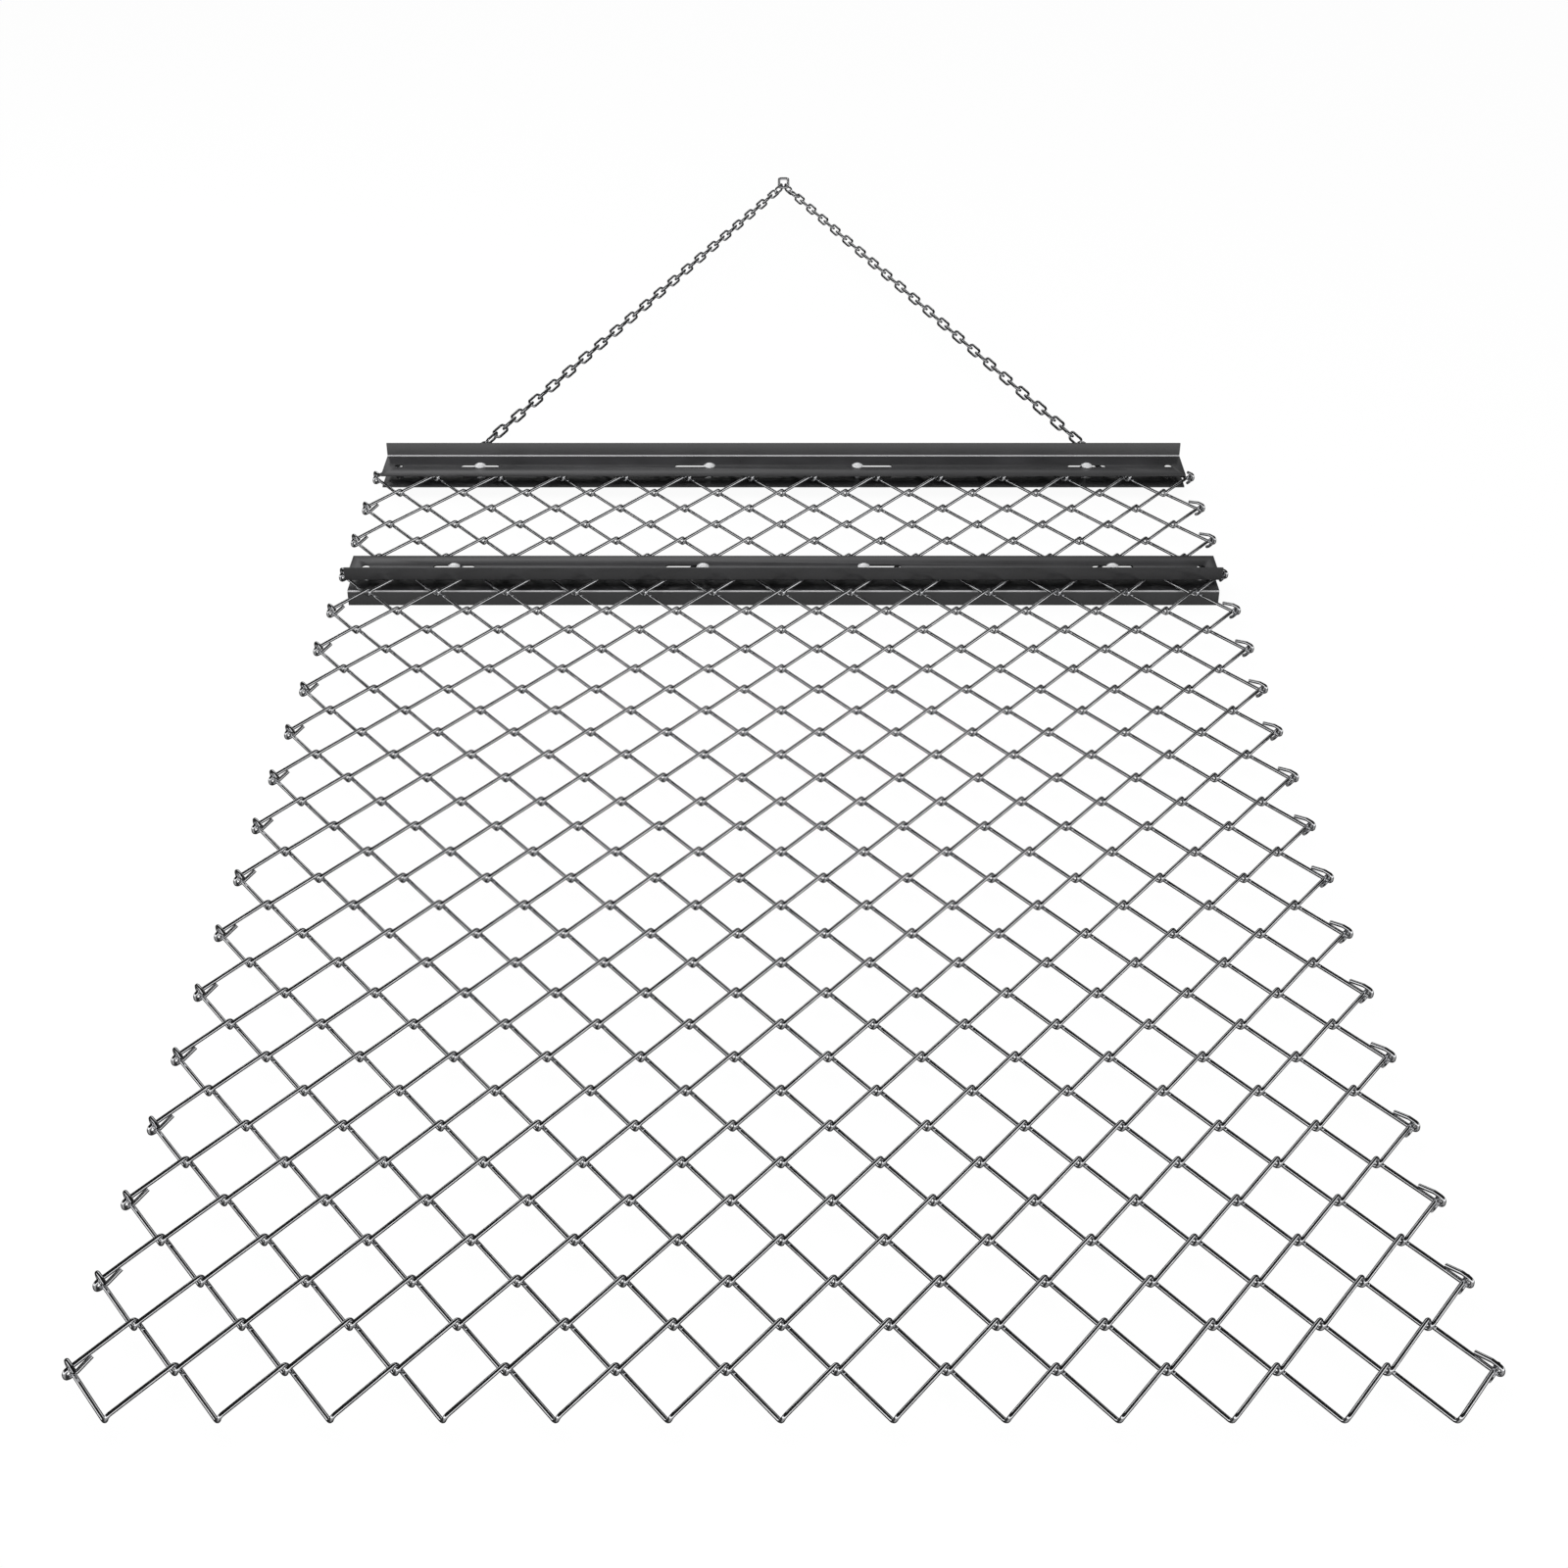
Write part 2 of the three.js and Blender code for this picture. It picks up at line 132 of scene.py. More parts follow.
def floor_finish():
    """White paper to the camera, grey to dull surfaces, and a floor that darkens forward in metal."""
    material = bpy.data.materials.new("studio_floor")
    material.use_nodes = True
    material.node_tree.nodes.clear()
    nodes = Nodes(material.node_tree)
    path = nodes.add("ShaderNodeLightPath", output="Is Camera Ray")
    paper = nodes.add("ShaderNodeBsdfDiffuse", inputs={"Color": (0.9, 0.9, 0.9, 1)})
    glow = nodes.add("ShaderNodeEmission", inputs={"Color": (1, 1, 1, 1), "Strength": 1.0})
    seen = nodes.add("ShaderNodeMixShader", inputs={0: 0.95, 1: paper, 2: glow})
    grey = nodes.add("ShaderNodeBsdfDiffuse", inputs={"Color": (0.4, 0.4, 0.4, 1)})
    slant = nodes.add("ShaderNodeNewGeometry", output="Incoming")
    behind = nodes.add("ShaderNodeSeparateXYZ", inputs={"Vector": slant}, output="Y")
    tone = nodes.add("ShaderNodeValToRGB", {"stops": [
        (0.40, (0.03, 0.03, 0.03)), (0.70, (0.34, 0.34, 0.34))]}, {"Fac": behind})
    mirrored_floor = nodes.add("ShaderNodeEmission", inputs={"Color": tone, "Strength": 1.0})
    unseen = nodes.add("ShaderNodeMixShader", inputs={
        0: path.also("Is Glossy Ray"), 1: grey, 2: mirrored_floor})
    both = nodes.add("ShaderNodeMixShader", inputs={0: path, 1: unseen, 2: seen})
    end_tree(nodes, both, "ShaderNodeOutputMaterial")
    return material


floor_half = 30
floor_mesh = bpy.data.meshes.new("floor")
floor_corners = [(-1, -1), (1, -1), (1, 1), (-1, 1)]
floor_points = [(x * floor_half, y * floor_half, 0) for x, y in floor_corners]
floor_mesh.from_pydata(floor_points, [], [(0, 1, 2, 3)])
floor_mesh.materials.append(floor_finish())
floor = bpy.data.objects.new("floor", floor_mesh)
scene.collection.objects.link(floor)

# The surroundings are white to the camera, plain light grey to dull surfaces, and for bright metal a
# studio with white walls beside and behind the camera, a dark ceiling, and a dark far wall with one
# band of light that is dimmer towards the right.
world = bpy.data.worlds.new("studio")
scene.world = world
world.use_nodes = True
world.node_tree.nodes.clear()
sky = Nodes(world.node_tree)
rays = sky.add("ShaderNodeLightPath", output="Is Camera Ray")
direction = sky.add("ShaderNodeTexCoord", output="Generated")
aside = sky.add("ShaderNodeSeparateXYZ", inputs={"Vector": direction}, output="X")
ahead = aside.also("Y")
height = aside.also("Z")


def steps(value, *stops):
    """A grey tone for each value, straight between the stops."""
    tones = [(at, (tone, tone, tone)) for at, tone in stops]
    return sky.add("ShaderNodeValToRGB", {"stops": tones}, {"Fac": value})


near_walls = steps(ahead, (0.12, 1.1), (0.20, 0.0)) * steps(height, (0.42, 1.0), (0.50, 0.0))
band_height = steps(height, (0.30, 0.0), (0.36, 1.0), (0.54, 1.0), (0.62, 0.0))
far_band = steps(ahead, (0.76, 0.0), (0.82, 1.2)) * band_height
leftward = steps(aside * 1.7 + 0.5, (0.0, 1.0), (1.0, 0.3))
mirrored = sky.add("ShaderNodeBackground", inputs={
    "Color": (1, 1, 1, 1), "Strength": 0.01 + near_walls + far_band * leftward})
dull = sky.add("ShaderNodeBackground", inputs={"Color": (0.62, 0.62, 0.62, 1), "Strength": 1.0})
white = sky.add("ShaderNodeBackground", inputs={"Color": (1, 1, 1, 1), "Strength": 1.0})
unseen = sky.add("ShaderNodeMixShader", inputs={0: rays.also("Is Glossy Ray"), 1: dull, 2: mirrored})
around_all = sky.add("ShaderNodeMixShader", inputs={0: rays, 1: unseen, 2: white})
end_tree(sky, around_all, "ShaderNodeOutputWorld")


def softbox(name, place, aim, width, depth, power):
    lamp = bpy.data.lights.new(name, "AREA")
    lamp.shape = "RECTANGLE"
    lamp.size = width
    lamp.size_y = depth
    lamp.energy = power
    box = bpy.data.objects.new(name, lamp)
    scene.collection.objects.link(box)
    box.visible_glossy = False
    box.location = place
    box.rotation_euler = (Vector(aim) - Vector(place)).to_track_quat("-Z", "Y").to_euler()


softbox("overhead_softbox", (0, -1.4, 3.4), (0, -0.3, 0), 4.0, 2.4, 90)
softbox("left_softbox", (-2.6, 0.4, 2.0), (0, 0.2, 0), 1.6, 1.6, 40)


# Mat. Thirty-six zigzag wires of bright zinc-plated steel. Each is bent to and fro and hooked through
# the bends of the next. Both its ends are folded into hooks, whose tails lean back to its outer strands.
cell = 0.1175
row = cell / 2
cells_across = 13
wire_count = 36
wire_diameter = 0.0055
strand_height = 0.0048
bend_width = 0.0034
bend_reach = 0.0036
hook_reach = 0.0027
hooked_strand_height = 0.003
hook_height = 0.0090
hook_grip = 0.014
hook_tail = {1: 0.034, 0: 0.021}
tail_lean = 0.3
clamped_hook_tail = 0.014
clamped_wires = (1, 2, 7, 8)
bend_radius = 0.005
bend_steps = 5
wire_sides = 12
first_row = (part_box("wire_01")[0][1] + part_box("wire_02")[1][1]) / 2
mat_middle = (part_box("wire_01")[0][2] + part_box("wire_01")[1][2]) / 2


def finish(name, **constants):
    """A new material, its shader with these constants, and its node builder."""
    material = bpy.data.materials.new(name)
    material.use_nodes = True
    shader = material.node_tree.nodes["Principled BSDF"]
    for socket, value in constants.items():
        shader.inputs[socket.replace("_", " ")].default_value = value
    return material, shader, Nodes(material.node_tree)


def feed(nodes, shader, **readings):
    for socket, reading in readings.items():
        nodes.tree.links.new(reading.socket, shader.inputs[socket.replace("_", " ")])


def zinc_plate(name, dark, bright, smoothest, roughest, metal=1.0):
    """Bright zinc plate: faint clouds in its grey, and fine drawing lines along the wire."""
    material, shader, nodes = finish(name, Metallic=metal)
    place = nodes.add("ShaderNodeTexCoord", output="Object")
    clouds = nodes.add("ShaderNodeTexNoise", inputs={"Vector": place, "Scale": 70.0, "Detail": 4.0})
    grain = nodes.add("ShaderNodeTexNoise", inputs={"Vector": place, "Scale": 900.0, "Detail": 3.0})
    colour = nodes.add("ShaderNodeValToRGB", {"stops": [(0.32, dark), (0.68, bright)]}, {"Fac": clouds})
    roughness = smoothest + (roughest - smoothest) * (0.6 * clouds + 0.4 * grain)
    along = nodes.add("ShaderNodeAttribute", {"attribute_name": "along"}, output="Fac")
    turn = nodes.add("ShaderNodeAttribute", {"attribute_name": "around"}, output="Fac") * (2 * pi)
    beside = nodes.add("ShaderNodeMath", {"operation": "COSINE"}, {0: turn})
    above = nodes.add("ShaderNodeMath", {"operation": "SINE"}, {0: turn})
    unrolled = nodes.add("ShaderNodeCombineXYZ", inputs={
        "X": beside * 9.0, "Y": above * 9.0, "Z": along * 60.0})
    lines = nodes.add("ShaderNodeTexNoise", inputs={"Vector": unrolled, "Scale": 1.0, "Detail": 3.0})
    bump = nodes.add("ShaderNodeBump", inputs={"Strength": 0.12, "Distance": 0.0002, "Height": lines})
    feed(nodes, shader, Base_Color=colour, Roughness=roughness, Normal=bump)
    return material


wire_zinc = zinc_plate("wire_zinc", (0.76, 0.77, 0.79), (0.92, 0.92, 0.93), 0.04, 0.12)


def new_tree(name, sizes):
    """A Geometry Nodes tree with a geometry input and named inputs for its sizes."""
    tree = bpy.data.node_groups.new(name, "GeometryNodeTree")
    tree.interface.new_socket("Geometry", in_out="INPUT", socket_type="NodeSocketGeometry")
    for size, kind in sizes.items():
        tree.interface.new_socket(size, in_out="INPUT", socket_type=f"NodeSocket{kind}")
    tree.interface.new_socket("Geometry", in_out="OUTPUT", socket_type="NodeSocketGeometry")
    nodes = Nodes(tree)
    given = tree.nodes.new("NodeGroupInput")
    return nodes, {socket.name: Reading(nodes, socket) for socket in given.outputs if socket.name}


def close_tree(nodes, geometry, material):
    """Ends a tree: smooth faces, real instances and one material."""
    smooth = nodes.add("GeometryNodeSetShadeSmooth", inputs={"Geometry": geometry})
    real = nodes.add("GeometryNodeRealizeInstances", inputs={"Geometry": smooth})
    painted = nodes.add("GeometryNodeSetMaterial", inputs={"Geometry": real, "Material": material})
    result = nodes.tree.nodes.new("NodeGroupOutput")
    nodes.tree.links.new(painted.socket, result.inputs[0])
    return nodes.tree


def round_bar(nodes, curve, diameter, sides):
    """Sweeps a round section along a curve, and keeps how far along and around each point lies."""
    spot = nodes.add("GeometryNodeSplineParameter", output="Factor")
    length = spot.also("Length")
    marked = nodes.add("GeometryNodeStoreNamedAttribute", {"data_type": "FLOAT", "domain": "POINT"}, {
        "Geometry": curve, "Name": "along", "Value": length})
    circle = nodes.add("GeometryNodeCurvePrimitiveCircle", inputs={
        "Resolution": sides, "Radius": 0.5 * diameter})
    section = nodes.add("GeometryNodeStoreNamedAttribute", {"data_type": "FLOAT", "domain": "POINT"}, {
        "Geometry": circle, "Name": "around", "Value": spot})
    return nodes.add("GeometryNodeCurveToMesh", inputs={
        "Curve": marked, "Profile Curve": section, "Fill Caps": True})


def bent_wire_tree(material):
    """Rounds the corners of a line of points and makes it a round wire."""
    nodes, size = new_tree("bent_wire", {
        "Wire diameter": "Float", "Bend radius": "Float", "Bend steps": "Int", "Sides": "Int"})
    line = nodes.add("GeometryNodeMeshToCurve", inputs={"Mesh": size["Geometry"]})
    rounded = nodes.add("GeometryNodeFilletCurve", {"mode": "POLY"}, {
        "Curve": line, "Count": size["Bend steps"], "Radius": size["Bend radius"], "Limit Radius": True})
    return close_tree(nodes, round_bar(nodes, rounded, size["Wire diameter"], size["Sides"]), material)


def grow(name, points, edges, tree, sizes):
    """Runs a tree on a few points and edges, and returns an object with the plain mesh that it makes."""
    start = bpy.data.meshes.new(name)
    start.from_pydata(points, edges, [])
    piece = bpy.data.objects.new(name, start)
    scene.collection.objects.link(piece)
    modifier = piece.modifiers.new("form", "NODES")
    modifier.node_group = tree
    for socket in tree.interface.items_tree:
        if socket.in_out == "INPUT" and socket.name in sizes:
            modifier[socket.identifier] = sizes[socket.name]
    result = bpy.data.meshes.new_from_object(piece.evaluated_get(bpy.context.evaluated_depsgraph_get()))
    piece.modifiers.remove(modifier)
    piece.data = result
    bpy.data.meshes.remove(start)
    result.name = name
    return piece


def join_up(piece, body, slot, *nodes):
    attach(piece, body)
    if nodes:
        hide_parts(*nodes)


def wire_line(number):
    """The bends of one wire from left to right, with the folded hook at each end."""
    ends_at_rear = number % 2 == 1
    front = first_row - (number - 2) * row + bend_reach
    rear = first_row - (number - 1) * row - bend_reach
    line = []
    for strand in range(2 * cells_across):
        climbs = (strand % 2 == 0) == ends_at_rear
        left = (strand - cells_across) * row
        level = mat_middle + (strand_height if climbs else -strand_height)
        line.append(Vector((left + bend_width / 2, rear if climbs else front, level)))
        line.append(Vector((left + row - bend_width / 2, front if climbs else rear, level)))
    tail = clamped_hook_tail if number in clamped_wires else hook_tail[number % 2]
    hooks = []
    for end, inner in ((0, 1), (-1, -2)):
        outward = (line[end] - line[inner]).normalized()
        line[end] = line[end] + outward * hook_reach * sqrt(2)
        side = 1 if line[end].z < mat_middle else -1
        line[end].z = mat_middle - side * hooked_strand_height
        fold = line[end].copy()
        fold.z = mat_middle + side * hook_height
        knee = fold - outward * hook_grip
        tip = fold - outward * tail
        tip.z -= side * tail_lean * (tail - hook_grip)
        hooks.append((tip, knee, fold))
    return [*hooks[0], *line, *reversed(hooks[1])]


behaviour = frame["record"]["behaviour"]
body_of_node = {node: body for body, nodes in behaviour["bodies"].items() for node in nodes}
bent_wire = bent_wire_tree(wire_zinc)
wire_sizes = {
    "Wire diameter": wire_diameter, "Bend radius": bend_radius,
    "Bend steps": bend_steps, "Sides": wire_sides}
for number in range(1, wire_count + 1):
    line = wire_line(number)
    edges = [(i, i + 1) for i in range(len(line) - 1)]
    wire = grow(f"mat_wire_{number:02d}", line, edges, bent_wire, wire_sizes)
    node = f"wire_{number:02d}"
    join_up(wire, body_of_node[node], "wire_steel", node)


# Bars. Each of the four is a strip of 3 mm steel folded along its length a little less than square,
# slotted for the clamping bolts, drilled near both ends, and powder coated a charcoal grey.
wide_leg = 0.080
leg_lean = radians(8)
sheet = 0.003
fold_radius = 0.001
fold_steps = 8
# fold_reach, crest_reach and crest_sharpness place the painted highlight along each fold's crest and set
# how sharply it ends.
fold_reach = 0.02
crest_reach = 0.0017
crest_sharpness = 1400.0
slot_line = 0.037
slot_width = 0.011
slot_length = 0.071
slot_centres = (0.168, 0.5695)
end_hole_diameter = 0.014
end_hole_inset = 0.0275
edge_rounding = 0.0004
cut_overrun = 0.003


def powder_coat():
    """Charcoal powder coat: a fine orange peel, faint cloudiness, and a painted highlight along each
    fold's crest.
    """
    material, shader, nodes = finish("charcoal_powder_coat", Metallic=0.0, Specular_IOR_Level=1.0)
    place = nodes.add("ShaderNodeTexCoord", output="Object")
    clouds = nodes.add("ShaderNodeTexNoise", inputs={"Vector": place, "Scale": 14.0, "Detail": 5.0})
    peel = nodes.add("ShaderNodeTexNoise", inputs={"Vector": place, "Scale": 520.0, "Detail": 2.0})
    colour = nodes.add("ShaderNodeValToRGB", {"stops": [
        (0.30, (0.024, 0.024, 0.025)), (0.70, (0.036, 0.036, 0.038))]}, {"Fac": clouds})
    near = nodes.add("ShaderNodeAttribute", {"attribute_name": "near_fold"}, output="Fac")
    # The light grey mixed in along each fold's crest is a painted highlight, standing in for the light
    # that the fold would catch.
    painted_fold_highlight = nodes.add("ShaderNodeMath", {"operation": "MULTIPLY", "use_clamp": True}, {
        0: near - (fold_reach - crest_reach), 1: crest_sharpness})
    coat = nodes.add("ShaderNodeMix", {"data_type": "RGBA"}, {
        "Factor": painted_fold_highlight, 6: colour, 7: (0.52, 0.52, 0.53, 1)}, output=2)
    roughness = 0.22 + 0.10 * clouds + 0.06 * peel
    bump = nodes.add("ShaderNodeBump", inputs={"Strength": 0.2, "Distance": 0.0003, "Height": peel})
    feed(nodes, shader, Base_Color=coat, Roughness=roughness, Normal=bump)
    return material


charcoal = powder_coat()


def prism(outline, place, depth):
    """A closed solid: an outline in two directions, placed in space and drawn out by a vector."""
    solid = bmesh.new()
    face = solid.faces.new([solid.verts.new(place(a, b)) for a, b in outline])
    drawn = bmesh.ops.extrude_face_region(solid, geom=[face])
    corners = [part for part in drawn["geom"] if isinstance(part, bmesh.types.BMVert)]
    bmesh.ops.translate(solid, vec=depth, verts=corners)
    bmesh.ops.recalc_face_normals(solid, faces=solid.faces)
    return solid


def arc(centre, radius, start, end, steps):
    """Points of an arc, with both its ends, by angles in degrees."""
    turns = [radians(start + (end - start) * i / steps) for i in range(steps + 1)]
    return [(centre[0] + radius * cos(turn), centre[1] + radius * sin(turn)) for turn in turns]


def as_object(name, *solids):
    """One object that holds these closed solids."""
    whole = bmesh.new()
    for solid in solids:
        part = bpy.data.meshes.new(name)
        solid.to_mesh(part)
        solid.free()
        whole.from_mesh(part)
        bpy.data.meshes.remove(part)
    mesh = bpy.data.meshes.new(name)
    whole.to_mesh(mesh)
    whole.free()
    made = bpy.data.objects.new(name, mesh)
    scene.collection.objects.link(made)
    return made


def cut_and_round(name, blank, cutters, rounding):
    """Cuts a blank, rounds its sharp edges, and returns one plain piece."""
    cut = blank.modifiers.new("cut", "BOOLEAN")
    cut.object = cutters
    cut.operation = "DIFFERENCE"
    cut.solver = "EXACT"
    soften = blank.modifiers.new("soften", "BEVEL")
    soften.width = rounding
    soften.segments = 2
    soften.limit_method = "ANGLE"
    soften.angle_limit = radians(40)
    mesh = bpy.data.meshes.new_from_object(blank.evaluated_get(bpy.context.evaluated_depsgraph_get()))
    blank.modifiers.clear()
    blank.data = mesh
    mesh.name = name
    bpy.data.objects.remove(cutters)
    mesh.polygons.foreach_set("use_smooth", [True] * len(mesh.polygons))
    mesh.set_sharp_from_angle(angle=radians(32))
    return blank


def slot_outline(centre, line, width, length):
    straight = (length - width) / 2
    right = arc((centre + straight, line), width / 2, -90, 90, 12)
    left = arc((centre - straight, line), width / 2, 90, 270, 12)
    return right + left


outer_radius = fold_radius + sheet
fold_centre = (wide_leg - outer_radius, outer_radius)
leg_start = outer_radius * (1 - sin(leg_lean))


def leg_face(rise):
    """How far the narrow leg's outer face is from the free edge, at a height above the wide leg."""
    return fold_centre[0] + outer_radius * cos(leg_lean) + (rise - leg_start) * tan(leg_lean)


def bar(name, pair, upward, forward):
    """One angle: its wide leg lies along the mat and its narrow leg stands away from it."""
    low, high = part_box(f"{pair}_angle_lower")
    free_edge = low[1] if forward > 0 else high[1]
    tall = high[2] - low[2]
    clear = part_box("rear_angle_upper")[0][2] - mat_middle if upward > 0 else mat_middle - high[2]
    fold_end = -leg_lean * 180 / pi
    section = [(0, 0)]
    section += arc(fold_centre, outer_radius, -90, fold_end, fold_steps)
    section += [(leg_face(tall), tall), (leg_face(tall) - sheet / cos(leg_lean), tall)]
    section += arc(fold_centre, fold_radius, fold_end, -90, fold_steps)
    section += [(0, sheet)]
    length = high[0] - low[0]
    strip = prism(
        section,
        lambda u, v: (low[0], free_edge + forward * u, mat_middle + upward * (clear + v)),
        (length, 0, 0),
    )
    line = free_edge + forward * slot_line
    start = mat_middle + upward * (clear - cut_overrun)
    depth = (0, 0, upward * (sheet + 2 * cut_overrun))
    cutters = []
    for side in (-1, 1):
        for centre in slot_centres:
            outline = slot_outline(side * centre, line, slot_width, slot_length)
            cutters.append(prism(outline, lambda x, y: (x, y, start), depth))
        hole_centre = (side * (length / 2 - end_hole_inset), line)
        outline = arc(hole_centre, end_hole_diameter / 2, 0, 360, 32)[:-1]
        cutters.append(prism(outline, lambda x, y: (x, y, start), depth))
    made = cut_and_round(name, as_object(name, strip), as_object("slots", *cutters), edge_rounding)
    # near_fold holds how near each point lies to the fold's crest, where the painted highlight goes.
    crest = (fold_radius if upward > 0 else outer_radius) * sqrt(0.5)
    near_fold = made.data.attributes.new("near_fold", "FLOAT", "POINT")
    for value, vertex in zip(near_fold.data, made.data.vertices):
        across = forward * (vertex.co.y - free_edge) - fold_centre[0] - crest
        over = upward * (vertex.co.z - mat_middle) - clear - fold_centre[1] + crest
        value.value = fold_reach - sqrt(across ** 2 + over ** 2)
    return made


for pair, body, forward in (("front", "front_bar", 1), ("rear", "levelling_bar", -1)):
    for place, upward in (("upper", 1), ("lower", -1)):
        name = f"{pair}_bar_{place}"
        angle_bar = bar(name, pair, upward, forward)
        angle_bar.data.materials.append(charcoal)
        join_up(angle_bar, body, "black_paint", f"{pair}_angle_{place}")


# Lugs. Two plates with an eye are welded upright on the front of the upper front bar, and each holds
# the first link of a chain arm.
lug_centre = 0.5815
lug_thickness = 0.003
lug_length = 0.0145
lug_hole_diameter = 0.010
lug_hole_inset = 0.0062
lug_level = mat_middle + 0.0145
lug_root = 0.001
bead_diameter = 0.003
bead_bend_radius = 0.001
bead_rises = (-0.003, 0.0005, 0.004, 0.0075)
bead_wave = 0.0002
front_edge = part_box("front_angle_lower")[0][1]
lug_face = front_edge + wide_leg
wide_leg_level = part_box("rear_angle_upper")[0][2]


def lug(side):
    nose = lug_length - lug_hole_inset
    outline = [(lug_face - lug_root, lug_level - nose)]
    outline += arc((lug_face + lug_hole_inset, lug_level), nose, -90, 90, 16)
    outline += [(lug_face - lug_root, lug_level + nose)]
    flank = side * lug_centre - lug_thickness / 2
    plate = prism(outline, lambda y, z: (flank, y, z), (lug_thickness, 0, 0))
    eye = arc((lug_face + lug_hole_inset, lug_level), lug_hole_diameter / 2, 0, 360, 32)[:-1]
    cutter = prism(eye, lambda y, z: (flank - lug_thickness, y, z), (3 * lug_thickness, 0, 0))
    name = "lug_left" if side < 0 else "lug_right"
    made = cut_and_round(name, as_object(name, plate), as_object("eye", cutter), edge_rounding)
    made.data.materials.append(charcoal)
    return made


bead_tree = bent_wire_tree(charcoal)
bead_sizes = {
    "Wire diameter": bead_diameter, "Bend radius": bead_bend_radius, "Bend steps": 1, "Sides": 10}
for side in (-1, 1):
    join_up(lug(side), "front_bar", "black_paint")
    for flank in (-1, 1):
        x = side * lug_centre + flank * lug_thickness / 2
        levels = [lug_level + rise for rise in bead_rises]
        faces = [front_edge + leg_face(level - wide_leg_level) for level in levels]
        waves = [(x, face + bead_wave * (i % 2), level) for i, face, level in zip(range(4), faces, levels)]
        label = f"lug_weld_{'left' if side < 0 else 'right'}_{'outer' if side * flank > 0 else 'inner'}"
        bead = grow(label, waves, [(0, 1), (1, 2), (2, 3)], bead_tree, bead_sizes)
        join_up(bead, "front_bar", "black_paint")


# Clamping bolts. A carriage bolt goes down through each slot of a pair of bars, with its square neck
# in the upper slot, and a flange nut is screwed up from below.
head_diameter = 0.0205
head_height = 0.0046
neck_width = 0.008
neck_height = 0.0026
shank_diameter = 0.008
thread_pitch = 0.00125
thread_depth = 0.0007
thread_length = 0.022
bolt_sides = 32
dome_steps = 12


def turned(profile, sides):
    """A closed shape turned about the Z axis; the profile runs from axis to axis as radius and height."""
    solid = bmesh.new()
    rings = []
    for radius, level in profile:
        if radius == 0:
            rings.append([solid.verts.new((0, 0, level))])
        else:
            turns = [2 * pi * i / sides for i in range(sides)]
            rings.append([solid.verts.new((radius * cos(a), radius * sin(a), level)) for a in turns])
    for below, above in zip(rings, rings[1:]):
        for i in range(sides):
            j = (i + 1) % sides
            round_face = ((below, i), (below, j), (above, j), (above, i))
            corners = [ring[place % len(ring)] for ring, place in round_face]
            solid.faces.new(list(dict.fromkeys(corners)))
    bmesh.ops.recalc_face_normals(solid, faces=solid.faces)
    return solid


def bolt_pattern():
    """One bolt with the seat of its head at the origin."""
    low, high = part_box("front_bolt_left_outer")
    shank = high[2] - head_height - low[2]
    radius = head_diameter / 2
    dome_radius = (radius ** 2 + head_height ** 2) / (2 * head_height)
    reach = asin(radius / dome_radius)
    root = shank_diameter / 2 - thread_depth
    profile = [(0, -shank), (root - 0.0004, -shank)]
    crests = int((thread_length - thread_pitch) / thread_pitch)
    level = -shank + 0.0006
    for _ in range(crests):
        profile += [(root, level), (shank_diameter / 2, level + 0.45 * thread_pitch)]
        profile += [(shank_diameter / 2, level + 0.55 * thread_pitch)]
        level += thread_pitch
    profile += [(root, level), (shank_diameter / 2, level + thread_pitch), (shank_diameter / 2, 0)]
    profile += [(radius - 0.0003, 0), (radius, 0.0003)]
    for i in range(1, dome_steps):
        angle = reach * (1 - i / dome_steps)
        height = dome_radius * cos(angle) - (dome_radius - head_height)
        profile.append((dome_radius * sin(angle), max(height, 0.0005)))
    profile.append((0, head_height))
    half = neck_width / 2
    square = [(-half, -half), (half, -half), (half, half), (-half, half)]
    neck = prism(square, lambda x, y: (x, y, -neck_height), (0, 0, neck_height + head_height / 4))
    return as_object("bolt_pattern", turned(profile, bolt_sides), neck)


bolt = bolt_pattern()
nut_height = 0.008
nut_across_flats = 0.013
nut_flange_diameter = 0.018
nut_flange_height = 0.0018
nut_bore = 0.0081
nut_steps = 48


def nut_pattern():
    """One flange nut with its seat at the origin: a hexagon with turned corners over a sloping flange."""
    def hexagon(angle):
        return nut_across_flats / 2 / cos((angle + pi / 6) % (pi / 3) - pi / 6)
    corner = nut_across_flats / sqrt(3)
    flange = nut_flange_diameter / 2
    bore = nut_bore / 2
    levels = [
        (0.0, bore + 0.0004, False), (0.0, flange - 0.0004, False), (-0.0003, flange, False),
        (-0.0009, flange, False), (-nut_flange_height - 0.0004, corner + 0.0001, False),
        (-nut_flange_height - 0.0006, corner, True), (-nut_height + 0.0009, corner, True),
        (-nut_height, corner - 0.0012, True), (-nut_height, bore + 0.0004, False),
        (-nut_height + 0.0004, bore, False), (-0.0004, bore, False),
    ]
    solid = bmesh.new()
    rings = []
    for level, limit, cornered in levels:
        verts = []
        for i in range(nut_steps):
            angle = 2 * pi * i / nut_steps
            radius = min(limit, hexagon(angle)) if cornered else limit
            verts.append(solid.verts.new((radius * cos(angle), radius * sin(angle), level)))
        rings.append(verts)
    for ring, following in zip(rings, rings[1:] + rings[:1]):
        for i in range(nut_steps):
            j = (i + 1) % nut_steps
            solid.faces.new([ring[i], ring[j], following[j], following[i]])
    bmesh.ops.recalc_face_normals(solid, faces=solid.faces)
    return as_object("nut_pattern", solid)


nut = nut_pattern()


def copies_tree(name, material):
    """Puts a copy of a pattern piece at every point."""
    nodes, size = new_tree(name, {"Pattern": "Object"})
    pattern = nodes.add("GeometryNodeObjectInfo", inputs={"Object": size["Pattern"]}, output="Geometry")
    copies = nodes.add("GeometryNodeInstanceOnPoints", inputs={
        "Points": size["Geometry"], "Instance": pattern})
    return close_tree(nodes, copies, material)


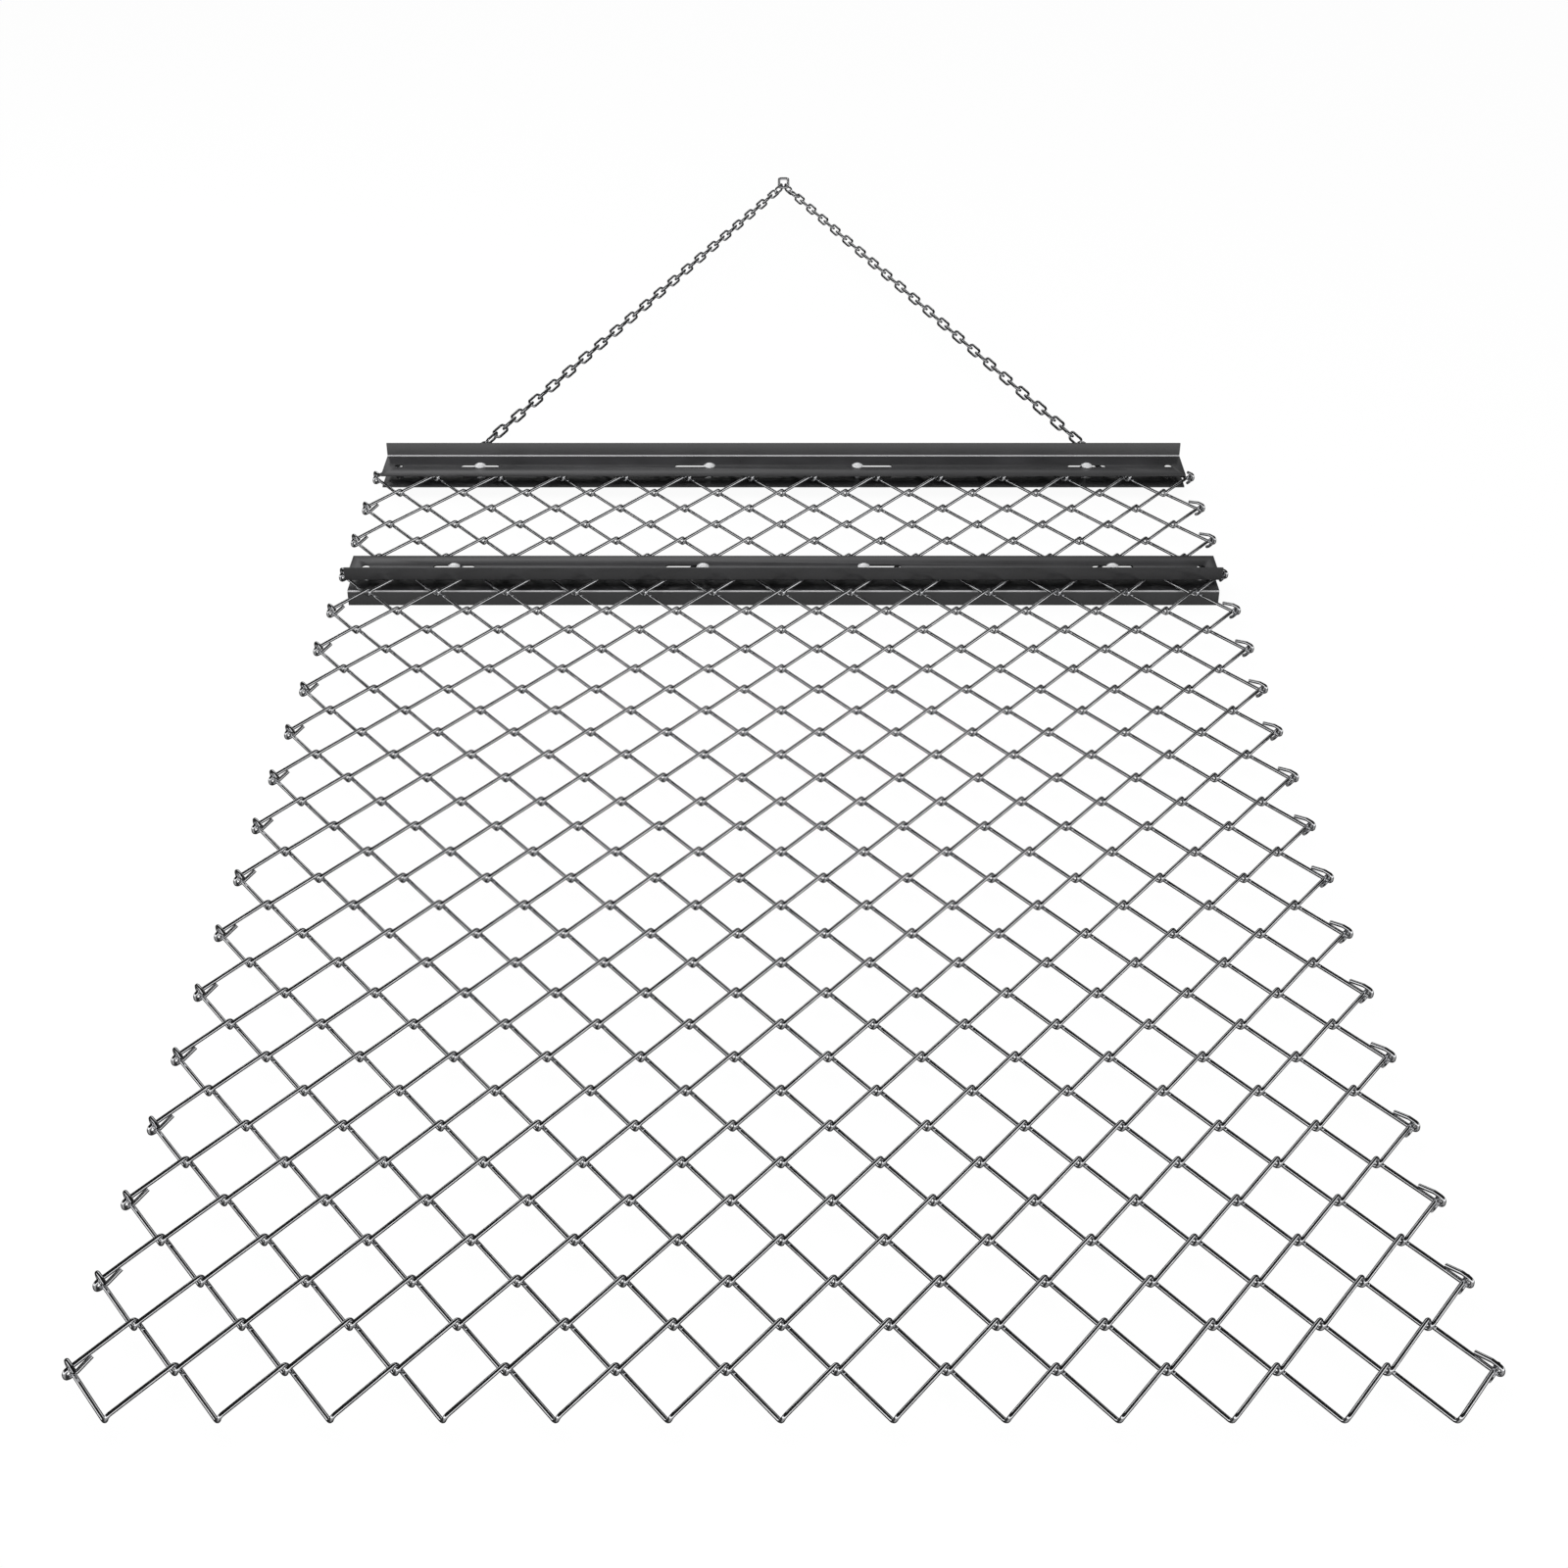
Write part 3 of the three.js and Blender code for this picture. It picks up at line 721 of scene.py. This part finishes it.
fastener_zinc = zinc_plate("fastener_zinc", (0.80, 0.81, 0.82), (0.92, 0.92, 0.93), 0.20, 0.30, 0.4)
fasteners = copies_tree("fasteners", fastener_zinc)
stations = ("left_outer", "left_inner", "right_inner", "right_outer")
for pair, body in (("front", "front_bar"), ("rear", "levelling_bar")):
    for kind, pattern, seat in (("bolt", bolt, head_height), ("nut", nut, 0)):
        nodes_here = [f"{pair}_{kind}_{station}" for station in stations]
        seats = []
        for node in nodes_here:
            low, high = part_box(node)
            seats.append(((low[0] + high[0]) / 2, (low[1] + high[1]) / 2, high[2] - seat))
        piece = grow(f"{pair}_{kind}s", seats, [], fasteners, {"Pattern": pattern})
        piece.data.set_sharp_from_angle(angle=radians(35))
        join_up(piece, body, "bolt_steel", *nodes_here)
for pattern in (bolt, nut):
    bpy.data.objects.remove(pattern)


# Tow chain. Two arms of electrically welded long links run from the lugs to the tow link. Neighbouring
# links stand square to each other. Between an arm's two ends they are rolled by the same angle, and each
# has a small weld on one of its long sides.
links_per_arm = 42
link_pitch = 0.036
link_width = 0.020
link_wire = 0.005
link_sides = 10
link_points = 44
link_corner_steps = 6
link_corner = 0.49
weld_half_length = 0.0035
weld_swelling = 0.12
arm_lean = radians(22.3904)
first_link = 0.0201156
chain_roll = radians(38)


def chain_tree(material):
    """One arm of links along Y. The first and last links keep their own turn, and the rest are rolled."""
    nodes, size = new_tree("link_chain", {
        "Links": "Int", "Pitch": "Float", "Width": "Float", "Wire diameter": "Float",
        "Sides": "Int", "First link": "Float", "Roll": "Float"})
    wire = size["Wire diameter"]
    across = size["Width"] - wire
    loop = nodes.add("GeometryNodeCurvePrimitiveQuadrilateral", inputs={
        "Width": across, "Height": size["Pitch"] + wire})
    rounded = nodes.add("GeometryNodeFilletCurve", {"mode": "POLY"}, {
        "Curve": loop, "Count": link_corner_steps, "Radius": link_corner * across, "Limit Radius": True})
    even = nodes.add("GeometryNodeResampleCurve", inputs={"Curve": rounded, "Count": link_points})
    spot = nodes.add("GeometryNodeInputPosition")
    parts = nodes.add("ShaderNodeSeparateXYZ", inputs={"Vector": spot}, output="X")
    along = parts.also("Y") * (1 / weld_half_length)
    hump = nodes.add("ShaderNodeMath", {"operation": "MAXIMUM"}, {0: 1 - along * along, 1: 0.0})
    one_side = nodes.add("ShaderNodeMath", {"operation": "GREATER_THAN"}, {0: parts, 1: 0.0})
    swollen = nodes.add("GeometryNodeSetCurveRadius", inputs={
        "Curve": even, "Radius": 1 + weld_swelling * hump * one_side})
    link = round_bar(nodes, swollen, wire, size["Sides"])
    first = nodes.add("ShaderNodeCombineXYZ", inputs={"Y": size["First link"]})
    step = nodes.add("ShaderNodeCombineXYZ", inputs={"Y": size["Pitch"]})
    line = nodes.add("GeometryNodeMeshLine", {"mode": "OFFSET"}, {
        "Count": size["Links"], "Start Location": first, "Offset": step})
    index = nodes.add("GeometryNodeInputIndex")
    from_end = index.math("MINIMUM", index, size["Links"] - 1 - index)
    settled = from_end.math("MINIMUM", from_end * 0.5, 1.0)
    turn = nodes.add("ShaderNodeCombineXYZ", inputs={"Y": index % 2 * (pi / 2) + size["Roll"] * settled})
    links = nodes.add("GeometryNodeInstanceOnPoints", inputs={
        "Points": line, "Instance": link, "Rotation": turn})
    return close_tree(nodes, links, material)


chain_zinc = zinc_plate("chain_zinc", (0.62, 0.63, 0.65), (0.86, 0.86, 0.87), 0.12, 0.24)
link_chain = chain_tree(chain_zinc)
bridle_hinge, tow_hinge = [joint["pos_m"] for joint in behaviour["joints"][-2:]]
for name, side in (("left", -1), ("right", 1)):
    arm = grow(f"tow_chain_{name}_links", [(0, 0, 0)], [], link_chain, {
        "Links": links_per_arm, "Pitch": link_pitch, "Width": link_width, "Wire diameter": link_wire,
        "Sides": link_sides, "First link": first_link, "Roll": chain_roll})
    place = Matrix.Translation((side * lug_centre, bridle_hinge[1], lug_level))
    arm.data.transform(place @ Matrix.Rotation(side * arm_lean, 4, "Z"))
    join_up(arm, "tow_bridle", "chain_steel", f"tow_chain_{name}")


# Tow link. One larger welded link joins the last links of both arms, and the towing vehicle's pin or
# hook goes through its front half.
tow_wire = 0.006
tow_bend_radius = 0.0055
tow_bend_steps = 6
tow_sides = 14
tow_low, tow_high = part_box("tow_link")
tow_rear_bar = tow_hinge[1]
tow_tree = bent_wire_tree(chain_zinc)
half_width = (tow_high[0] - tow_low[0]) / 2 - tow_wire / 2
front_bar_y = tow_high[1] - tow_wire / 2
middle_y = (tow_rear_bar + front_bar_y) / 2
tow_points = [
    (half_width, middle_y), (half_width, front_bar_y), (-half_width, front_bar_y),
    (-half_width, tow_rear_bar), (half_width, tow_rear_bar),
]
tow_line = [(x, y, lug_level) for x, y in tow_points]
tow_edges = [(i, (i + 1) % len(tow_line)) for i in range(len(tow_line))]
tow = grow("tow_link_welded", tow_line, tow_edges, tow_tree, {
    "Wire diameter": tow_wire, "Bend radius": tow_bend_radius, "Bend steps": tow_bend_steps,
    "Sides": tow_sides})
join_up(tow, "tow_link", "chain_steel", "tow_link")
